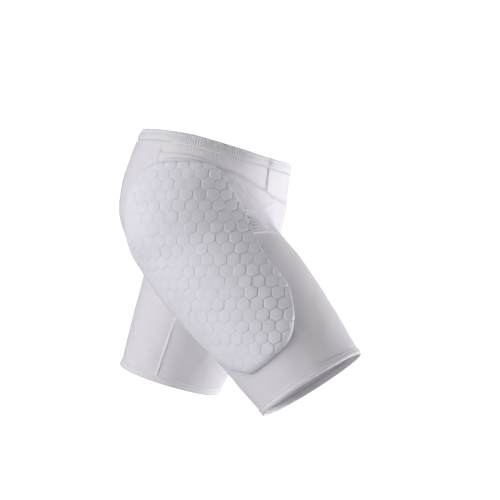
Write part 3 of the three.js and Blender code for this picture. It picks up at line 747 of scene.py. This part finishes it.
def inseam(name, leg):
    """A raised seam down the innermost line of a leg."""
    start, end = 0.54 * leg.reach, leg.reach - HEM + hem_lean(leg, math.pi)
    across = np.linspace(-1, 1, 11)
    down = np.linspace(0, 1, 60)
    distance = start + (end - start) * down
    points, tops, uv = [], [], []
    for d, share in zip(distance, down):
        turn = math.pi + across * 4.6 / THIGH
        points.append(thigh_point(leg, np.full(len(across), d), turn))
        wave = 0.08 * math.sin(d * 2.4)
        fade = min(1.0, share / 0.06)
        tops.append(0.2 + (0.7 + wave) * np.sqrt(np.maximum(0, 1 - across**2)) * fade)
        uv.append(np.stack([across * 1.8, np.full(len(across), d)], axis=1))
    return grid_shell(name, np.array(points), np.array(uv), np.concatenate(tops), 0.8)


def binding(name, leg):
    """A rolled strip over the pad's top edge."""
    angles = np.linspace(BINDING_START, YOKE_END, 90)
    share = np.linspace(0, 1, 15)
    top_line, low_line = binding_table(angles)[0], yoke_table(angles)[0] - 0.004
    down = top_line + (low_line - top_line) * share[:, None]
    points = trunk_point(leg.side, angles, down)
    roll = np.sqrt(np.maximum(0, 1 - (2 * share - 1) ** 4))
    taper = smoothstep(angles, BINDING_START - 1, BINDING_START + 6)
    tops = 0.2 + 1.5 * roll[:, None] * (0.35 + 0.65 * taper)
    tops = tops - 0.35 * bump(share[:, None], 0.84, 0.05)
    tops = tops.ravel() + np.maximum(relief(points.reshape(-1, 3)), 0)
    return grid_shell(name, points, trunk_uv(angles, down), tops, 1.0)


# Pads
def make_slice(leg, z):
    """The outline of the hip at one level, with lengths forward of the reference line."""
    along = max(0.0, (leg.hip[2] - z) / -leg.axis[2])
    centre = leg.hip + leg.axis * along
    centre[2] = z
    turn = np.radians(-150 + 300 * np.arange(129) / 128)
    direction = np.stack([leg.side * np.cos(turn), -np.sin(turn), 0 * turn], axis=1)
    points = leave(centre, direction, HIP_BREADTH)
    length = running(np.linalg.norm(np.diff(points, axis=0), axis=1))
    shift = -PAD_BACK_LINE - points[64, 1] - length[64]
    return points, length + shift


class HipChart:
    """Points of the form for lengths forward and down on the side of a hip."""

    STEP = 6

    def __init__(self, leg):
        self.margin = 2 * self.STEP
        self.count = math.ceil((PAD_LENGTH + 2 * self.margin) / self.STEP) + 1
        self.slices = [
            make_slice(leg, self.margin - PAD_TOP - i * self.STEP) for i in range(self.count)
        ]

    def __call__(self, flat):
        flat = np.asarray(flat, float)
        at = np.clip((flat[:, 1] + self.margin) / self.STEP, 0, self.count - 1.001)
        i = np.floor(at).astype(int)
        result = np.empty((len(flat), 3))
        for k in np.unique(i):
            here = i == k
            share = (at[here] - k)[:, None]
            pair = []
            for points, forward in (self.slices[k], self.slices[k + 1]):
                found = [np.interp(flat[here, 0], forward, c) for c in points.T]
                pair.append(np.stack(found, axis=1))
            result[here] = pair[0] * (1 - share) + pair[1] * share
        return settle(result)


def pad_edge(leg):
    hip = np.array([-leg.hip[1] - PAD_BACK_LINE, -leg.hip[2] - PAD_TOP])
    result = []
    for forward, down in PAD_OUTLINE:
        point = np.array([forward * PAD_WIDTH, down * PAD_LENGTH]) - hip
        share = float(smoothstep(point[1], -0.15 * PAD_LENGTH, 0.45 * PAD_LENGTH))
        length = 1 + (leg.reach / RIGHT.reach - 1) * share
        turn = (RIGHT.flex - leg.flex) * share
        c, s = math.cos(turn), math.sin(turn)
        turned = np.array([c * point[0] - s * point[1], s * point[0] + c * point[1]])
        result.append(turned * length + hip)
    return smooth_loop(np.array(result), 6)


def smooth_loop(points, count):
    """A closed curve through the points, with count steps between each two."""
    before, after = np.roll(points, 1, 0), np.roll(points, -1, 0)
    slope = (after - before) / 2
    result = []
    for i in range(len(points)):
        j = (i + 1) % len(points)
        for u in np.arange(count) / count:
            result.append(hermite(u, points[i], slope[i], points[j], slope[j]))
    return result


def clip(polygon, a, b):
    def side_of(p):
        return (b[0] - a[0]) * (p[1] - a[1]) - (b[1] - a[1]) * (p[0] - a[0])

    result = []
    for p, q in ring_pairs(polygon):
        sp, sq = side_of(p), side_of(q)
        if sp >= 0:
            result.append(p)
        if (sp >= 0) != (sq >= 0):
            result.append(p + (q - p) * sp / (sp - sq))
    return result


def flat_area(polygon):
    return sum(p[0] * q[1] - q[0] * p[1] for p, q in ring_pairs(polygon)) / 2


def key_of(p):
    return (round(p[0] * 40 + 0.3), round(p[1] * 40 + 0.3))


def pad_cells(edge):
    """Pointed-top hexagons in level rows, cut by the pad's outline."""
    whole = 1.5 * HEX_SIDE * HEX_PITCH
    if flat_area(edge) < 0:
        edge = edge[::-1]
    reach = math.ceil(PAD_WIDTH / HEX_PITCH)
    cells = []
    for row in range(-1, math.ceil(PAD_LENGTH / (1.5 * HEX_SIDE)) + 1):
        for column in range(-reach, reach):
            x = (column + (row % 2) / 2) * HEX_PITCH
            y = HEX_START + 1.5 * HEX_SIDE * row
            corners = [
                np.array([x + HEX_SIDE * math.sin(turn), y - HEX_SIDE * math.cos(turn)])
                for turn in (math.pi * i / 3 for i in range(6))
            ]
            cell = edge
            for a, b in ring_pairs(corners):
                cell = clip(cell, a, b)
                if not cell:
                    break
            cell = [p for p, q in ring_pairs(cell) if key_of(p) != key_of(q)]
            size = abs(flat_area(cell)) / whole if len(cell) > 2 else 0
            if size > 0.04:
                cells.append((cell, size))
    return cells


# Distance in from a cell's border, and the share of the groove's depth that is left there
GROOVE = [
    (0.0, 1.0), (0.3, 0.86), (0.6, 0.52), (0.95, 0.2), (1.4, 0.05), (2.4, 0.0), (4.5, -0.1),
]
PAD_CLEARANCE = 1.2
PAD_FOOT = 0.6
PAD_CROWN = 6.4
# place along the outline, a count of its points: how far in the pad's edge rises
PAD_FALL = [
    (0, 6), (3, 3), (5, 1.4), (9, 1.6), (11, 3), (13, 7), (15, 10), (18, 15), (24, 15), (25, 10),
]


def outline_distance(points, a, b):
    """The distance to the nearest of the segments from a to b, and its number."""
    along = b - a
    squared = (along**2).sum(axis=1) + 1e-9
    distance, nearest = [], []
    for part in np.array_split(points, 1 + len(points) // 2000):
        offset = part[:, None] - a
        t = np.clip((offset * along).sum(axis=2) / squared, 0, 1)
        off = np.linalg.norm(offset - t[..., None] * along, axis=2)
        nearest.append(off.argmin(axis=1))
        distance.append(off.min(axis=1))
    return np.concatenate(distance), np.concatenate(nearest)


def pad_heights(flat, left, loop, rim):
    """Flat foam cells with shallow grooves, deeper at the pad's front and faint behind."""
    distance, _ = outline_distance(flat, flat[rim[:, 0]], flat[rim[:, 1]])
    _, place = outline_distance(flat, loop, np.roll(loop, -1, axis=0))
    place = place * len(PAD_OUTLINE) / len(loop)
    front = smoothstep(place, 2, 4) * (1 - smoothstep(place, 12, 14))
    depth = 0.45 + 0.8 * front * (1 - smoothstep(distance, 14, 60))
    behind = smoothstep(place, 16, 18) * (1 - smoothstep(distance, 3, 24))
    height = PAD_CROWN - depth * left * (1 - 0.75 * behind)
    fall = np.interp(place, *zip(*PAD_FALL))
    share = np.clip(distance / fall, 0, 1)
    rise = np.sqrt(share * (2 - share))
    return PAD_FOOT + (height - PAD_FOOT) * rise


def hex_pad(name, leg):
    flat, left, numbers, faces, back = [], [], {}, [], []
    random = np.random.default_rng(7)

    def add(p, share):
        flat.append(p)
        left.append(share)
        return len(flat) - 1

    def shared(p, level, share):
        key = (level, *key_of(p))
        if key not in numbers:
            numbers[key] = add(p, share)
        return numbers[key]

    loop = pad_edge(leg)
    outline_edges = {}
    under_points = set()
    for cell, size in pad_cells(loop):
        border = []
        for p, q in ring_pairs(cell):
            count = max(1, round(np.linalg.norm(q - p) / 2.4))
            border.extend(p + (q - p) * k / count for k in range(count))
        middle = np.mean(border, axis=0)
        inside = HEX_PITCH / 2 * math.sqrt(size)
        swell, tilt_x, tilt_y = random.normal(0, 1, 3) * (0.22, 0.035, 0.035)
        ring = [shared(p, "rim", 1.0) for p in border]
        under = [shared(p, "back", 0.0) for p in border]
        outline_edges.update(zip(ring_pairs(ring), ring_pairs(under)))
        for inward, depth in GROOVE[1:]:
            share = min(inward / inside, 0.93)
            nearer = []
            for p in border:
                at = p + (middle - p) * share
                uneven = swell + (at - middle) @ (tilt_x, tilt_y)
                nearer.append(add(at, depth + uneven * (1 - max(0.0, depth))))
            for (a, b), (near_a, near_b) in zip(ring_pairs(ring), ring_pairs(nearer)):
                faces.append((a, b, near_b, near_a))
            ring = nearer
        top = add(middle, -0.12 + swell)
        bottom = add(middle, 0.0)
        under_points.update(under, [bottom])
        faces += [(a, b, top) for a, b in ring_pairs(ring)]
        back += [(b, a, bottom) for a, b in ring_pairs(under)]
    rim = [(a, b) for a, b in outline_edges if (b, a) not in outline_edges]
    outward = {}
    for a, b in rim:
        edge = flat[b] - flat[a]
        square = np.array([edge[1], -edge[0]]) / (np.linalg.norm(edge) + 1e-9)
        for v in (a, b):
            outward[v] = outward.get(v, 0) + square
    heights = pad_heights(np.array(flat), np.array(left), np.array(loop), np.array(rim))
    heights = list(heights + PAD_CLEARANCE)
    for v in under_points:
        heights[v] = 0.9
    skirt = {}
    for v, direction in outward.items():
        direction = direction / (np.linalg.norm(direction) + 1e-9)
        flat.append(flat[v] + direction * 0.6)
        heights.append(1.3)
        skirt[v] = len(flat) - 1
    for a, b in rim:
        under_a, under_b = outline_edges[(a, b)]
        faces.append((a, skirt[a], skirt[b], b))
        faces.append((skirt[a], under_a, under_b, skirt[b]))
    flat = np.array(flat)
    points = HipChart(leg)(flat)
    points = points + normal_at(points) * np.array(heights)[:, None]
    return new_object(name, points, outward_faces(points, faces + back), flat)


# Threads
def thread(name, paths, length=2.4, gap=0.9, radius=0.28):
    """Short stitches along paths of (points, normals)."""
    ring = np.arange(6) * math.pi / 3
    profile = [(-0.5, 0.25), (-0.32, 0.9), (0.32, 0.9), (0.5, 0.25)]
    points, faces = [], []
    for path, normals in paths:
        at = running(np.linalg.norm(np.diff(path, axis=0), axis=1))
        for s in np.arange(gap, at[-1] - length, length + gap):
            centre, ahead, out = (
                np.array([np.interp(s + shift, at, c) for c in source.T])
                for source, shift in (
                    (path, length / 2), (path, length / 2 + 0.3), (normals, length / 2)
                )
            )
            tangent = unit(ahead - centre)
            across = unit(np.cross(tangent, out))
            out = np.cross(across, tangent)
            base = len(points)
            for along, wide in profile:
                sink = 0.12 - 0.5 * radius * (abs(along) > 0.4)
                for turn in ring:
                    offset = across * math.cos(turn) + out * math.sin(turn)
                    middle = centre + tangent * along * length
                    points.append(middle + offset * radius * wide + out * sink)
            for k in range(len(profile) - 1):
                for i in range(6):
                    j = (i + 1) % 6
                    a, b = base + 6 * k, base + 6 * (k + 1)
                    faces.append((a + i, a + j, b + j, b + i))
            faces.append(tuple(base + i for i in reversed(range(6))))
            faces.append(tuple(base + 6 * (len(profile) - 1) + i for i in range(6)))
    points = np.array(points)
    return new_object(name, points, outward_faces(points, faces))


def raised(points, height):
    normals = normal_at(points)
    return points + normals * np.reshape(height, (-1, 1)), normals


def on_trunk(side, angles, down, lift=0.05):
    points = trunk_point(side, angles, down)
    return raised(points, relief(points) + lift)


def yoke_threads():
    paths = []
    for side in (-1, 1):
        angles = np.linspace(0.8, BINDING_START - 1, 260)
        line = yoke_table(angles)[0]
        paths += [on_trunk(side, angles, line + off) for off in (-0.0125, 0.0125)]
        for off in (-0.95, 0.95):
            down = np.linspace(BAND_DOWN + 0.004, yoke_table(FRONT_SEAM)[0] - 0.008, 60)
            paths.append(on_trunk(side, FRONT_SEAM + off, down))
    return paths


def seat_threads():
    down = np.linspace(BAND_DOWN + 0.01, 0.6, 120)
    return [on_trunk(side, 179.05, down) for side in (-1, 1)]


def hem_threads(leg):
    turns = np.linspace(0, 2 * math.pi, 400)
    paths = []
    for down, out in ((1.5, 0.25), (3.6, 0.3)):
        points = thigh_point(leg, leg.reach - HEM + down + hem_lean(leg, turns), turns)
        paths.append(raised(points, out))
    return paths


def band_threads():
    paths = []
    for down, out in ((4.7, 0.55), (12.4, 0.92)):
        for side in (-1, 1):
            angles = np.linspace(0, 180, 400)
            points = trunk_point(side, angles, down / RISE)
            paths.append(raised(points, out + gathers(angles, 0)))
    return paths


def inseam_threads(leg):
    """A zigzag over the raised seam."""
    start, end = 0.56 * leg.reach, leg.reach - HEM - 1 + hem_lean(leg, math.pi)
    distance = np.arange(start, end, 0.4)
    swing = 2 * np.abs(2 * ((distance / 3.6) % 1) - 1) - 1
    points = thigh_point(leg, distance, math.pi + swing * 0.62 * 3.6 / THIGH)
    return [raised(points, 0.25 + 0.85 * np.sqrt(1 - (0.62 * swing) ** 2))]


# Materials
def dial(node, settings):
    for name, value in settings.items():
        node.inputs[name].default_value = value


def knit(name, color, course=0.75, wale=0.95, depth=0.05, roughness=0.78, sheen=0.25, mottle=0.03):
    """A fine knit: rows of small loops, with slightly uneven colour."""
    material = bpy.data.materials.new(name)
    material.use_nodes = True
    nodes, links = material.node_tree.nodes, material.node_tree.links
    shader = nodes["Principled BSDF"]
    dial(shader, {"Roughness": roughness, "Specular IOR Level": 0.25})
    dial(shader, {"Sheen Weight": sheen, "Sheen Roughness": 0.45})
    place = nodes.new("ShaderNodeTexCoord")
    split = nodes.new("ShaderNodeSeparateXYZ")
    links.new(place.outputs["UV"], split.inputs[0])

    def math_node(kind, first, second=None):
        node = nodes.new("ShaderNodeMath")
        node.operation = kind
        for socket, value in zip(node.inputs, (first, second)):
            if isinstance(value, (int, float)):
                socket.default_value = value
            elif value is not None:
                links.new(value, socket)
        return node.outputs[0]

    across = math_node("PINGPONG", math_node("DIVIDE", split.outputs["X"], wale), 0.5)
    lean = math_node("MULTIPLY", across, 1.1)
    rows = math_node("ADD", math_node("DIVIDE", split.outputs["Y"], course), lean)
    loops = math_node("SINE", math_node("MULTIPLY", rows, 2 * math.pi))
    rib = math_node("SINE", math_node("MULTIPLY", across, 2 * math.pi))
    height = math_node("ADD", math_node("MULTIPLY", loops, 0.5), rib)
    fuzz = nodes.new("ShaderNodeTexNoise")
    dial(fuzz, {"Scale": 900, "Detail": 4})
    links.new(place.outputs["Object"], fuzz.inputs["Vector"])
    height = math_node("ADD", height, math_node("MULTIPLY", fuzz.outputs["Fac"], 1.6))
    bump_node = nodes.new("ShaderNodeBump")
    dial(bump_node, {"Strength": 0.35, "Distance": depth * TO_METRES})
    links.new(height, bump_node.inputs["Height"])
    links.new(bump_node.outputs["Normal"], shader.inputs["Normal"])
    cloud = nodes.new("ShaderNodeTexNoise")
    dial(cloud, {"Scale": 28, "Detail": 6, "Roughness": 0.6})
    links.new(place.outputs["Object"], cloud.inputs["Vector"])
    ramp = nodes.new("ShaderNodeValToRGB")
    low = [c * (1 - mottle) for c in color]
    for stop, position, shade in zip(ramp.color_ramp.elements, (0.3, 0.7), (low, color)):
        stop.position = position
        stop.color = (*shade, 1)
    links.new(cloud.outputs["Fac"], ramp.inputs["Fac"])
    links.new(ramp.outputs["Color"], shader.inputs["Base Color"])
    return material


# The body knit is the shorts' own white made a little darker: painted shade on the thigh fronts and
# the far leg
BODY_KNIT_SHADED = knit("body_knit_painted_shade", (0.80, 0.77, 0.83))
YOKE = knit("yoke_knit", (0.83, 0.81, 0.85), course=0.7, wale=0.85)
BAND = knit(
    "band_elastic", (0.80, 0.785, 0.83), course=1.1, wale=1.6, depth=0.12, sheen=0.15, mottle=0.05
)
HEM_CLOTH = knit("hem_knit", (0.83, 0.805, 0.85))
# The inseam ridge uses the shorts' own knit made lighter: a painted highlight along the raised seam
SEAM_KNIT_HIGHLIGHT = knit("seam_knit_painted_highlight", (0.93, 0.91, 0.94), course=0.7, wale=0.85)
PAD = knit("pad_knit", (0.815, 0.80, 0.87), course=0.7, wale=0.85, depth=0.04, sheen=0.2)
THREAD = knit("thread", (0.90, 0.88, 0.92), course=0.3, wale=0.3, depth=0.05, sheen=0.1)


def finish_piece(obj, material, nodes=()):
    obj.data.materials.append(material)
    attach(obj, "root")
    if nodes:
        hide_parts(*nodes)
    return obj


def sew(name, paths, slot="seam_cloth", **stitch):
    finish_piece(thread(name, paths, **stitch), THREAD)


band = finish_piece(waistband("elastic_waistband"), BAND, ["waistband"])
pouch_cloth = finish_piece(pouch("pouch_cloth"), YOKE, ["pouch_yoke"])
for leg in LEGS:
    word = leg.word
    yoke_cloth = yoke(f"yoke_cloth_{word}", leg.side, GATHER_ANGLES)
    finish_piece(yoke_cloth, YOKE, [f"front_yoke_{word}"])
    body_cloth = body(f"body_cloth_{word}", leg)
    finish_piece(body_cloth, BODY_KNIT_SHADED, [f"{word}_body_panel"])
    hem_band = hem(f"hem_band_{word}", leg)
    finish_piece(hem_band, HEM_CLOTH, [f"{word}_hem"])
    ridge = inseam(f"inseam_ridge_{word}", leg)
    finish_piece(ridge, SEAM_KNIT_HIGHLIGHT, [f"{word}_inseam"])
    strip = binding(f"pad_binding_strip_{word}", leg)
    finish_piece(strip, YOKE, [f"{word}_pad_binding"])
    pad = hex_pad(f"honeycomb_pad_{word}", leg)
    finish_piece(pad, PAD, [f"{word}_hex_pad"])
    sew(f"hem_stitches_{word}", hem_threads(leg))
    sew(f"inseam_stitches_{word}", inseam_threads(leg), length=1.6, gap=0.2, radius=0.22)
sew("yoke_stitches", yoke_threads())
sew("seat_stitches", seat_threads())
sew("waistband_stitches", band_threads(), "band_cloth")
scene = bpy.context.scene


def stand(name, data, right, up, ahead, place):
    """A camera or light at a place in metres."""
    obj = bpy.data.objects.new(name, data)
    scene.collection.objects.link(obj)
    matrix = np.eye(4)
    matrix[:3] = np.stack([right, up, -ahead, place], axis=1)
    obj.matrix_world = Matrix(matrix.tolist())
    return obj


# Camera
camera_data = bpy.data.cameras.new("camera")
camera_data.sensor_width = SENSOR
camera_data.lens = SENSOR * VIEW_DISTANCE / VIEW_SCALE / IMAGE_SIZE
camera_data.clip_end = 50
scene.camera = stand("camera", camera_data, LOOK_RIGHT, LOOK_UP, LOOK, EYE * TO_METRES)

# Floor, small enough that its far edge stays under the photograph's view
FLOOR_HALF, FLOOR_LEVEL = 2900, -850
signs = ((-1, -1), (1, -1), (1, 1), (-1, 1))
floor_corners = [(x * FLOOR_HALF, y * FLOOR_HALF, FLOOR_LEVEL) for x, y in signs]
floor = new_object("floor", floor_corners, [(0, 1, 2, 3)], smooth=False)
pale = bpy.data.materials.new("pale_floor")
pale.use_nodes = True
dial(pale.node_tree.nodes["Principled BSDF"], {"Base Color": (0.9, 0.9, 0.91, 1), "Roughness": 0.9})
floor.data.materials.append(pale)


# Light: soft boxes round the shorts, the strongest behind and before them. In metres and watts
LIT_PLACE = np.array([-0.03, -0.05, -0.17])


def soft_box(name, place, size, power):
    data = bpy.data.lights.new(name, "AREA")
    data.shape = "RECTANGLE"
    data.size, data.size_y = size
    data.energy = power
    ahead = unit(LIT_PLACE - place)
    right = unit(np.cross(ahead, [0, 0, 1]))
    stand(name, data, right, np.cross(right, ahead), ahead, place)


soft_box("light_behind", (-1.55, 1.95, 0.1), (1.5, 2.0), 26.5)
soft_box("light_behind_high", (-1.2, 1.8, 1.3), (1.5, 1.5), 19)
soft_box("light_side_high", (-2.0, 0.3, 1.5), (1.5, 1.5), 11.5)
soft_box("light_before_side", (-1.6, -2.0, 0.1), (1.2, 1.2), 5.5)
soft_box("light_before", (0.75, -2.35, -0.35), (1.2, 0.9), 46)
soft_box("light_far", (2.0, -1.2, 0.1), (1.2, 1.2), 9)

# World: a faint fill on the shorts, and white behind them for the camera
world = bpy.data.worlds.new("studio")
scene.world = world
world.use_nodes = True
tree = world.node_tree
background = tree.nodes["Background"]
dial(background, {"Color": (1, 1, 1, 1), "Strength": 0.02})
white = tree.nodes.new("ShaderNodeBackground")
dial(white, {"Color": (1, 1, 1, 1), "Strength": 1.2})
path = tree.nodes.new("ShaderNodeLightPath")
mix = tree.nodes.new("ShaderNodeMixShader")
tree.links.new(path.outputs["Is Camera Ray"], mix.inputs["Fac"])
tree.links.new(background.outputs[0], mix.inputs[1])
tree.links.new(white.outputs[0], mix.inputs[2])
tree.links.new(mix.outputs[0], tree.nodes["World Output"].inputs["Surface"])
scene.view_settings.view_transform = "Standard"
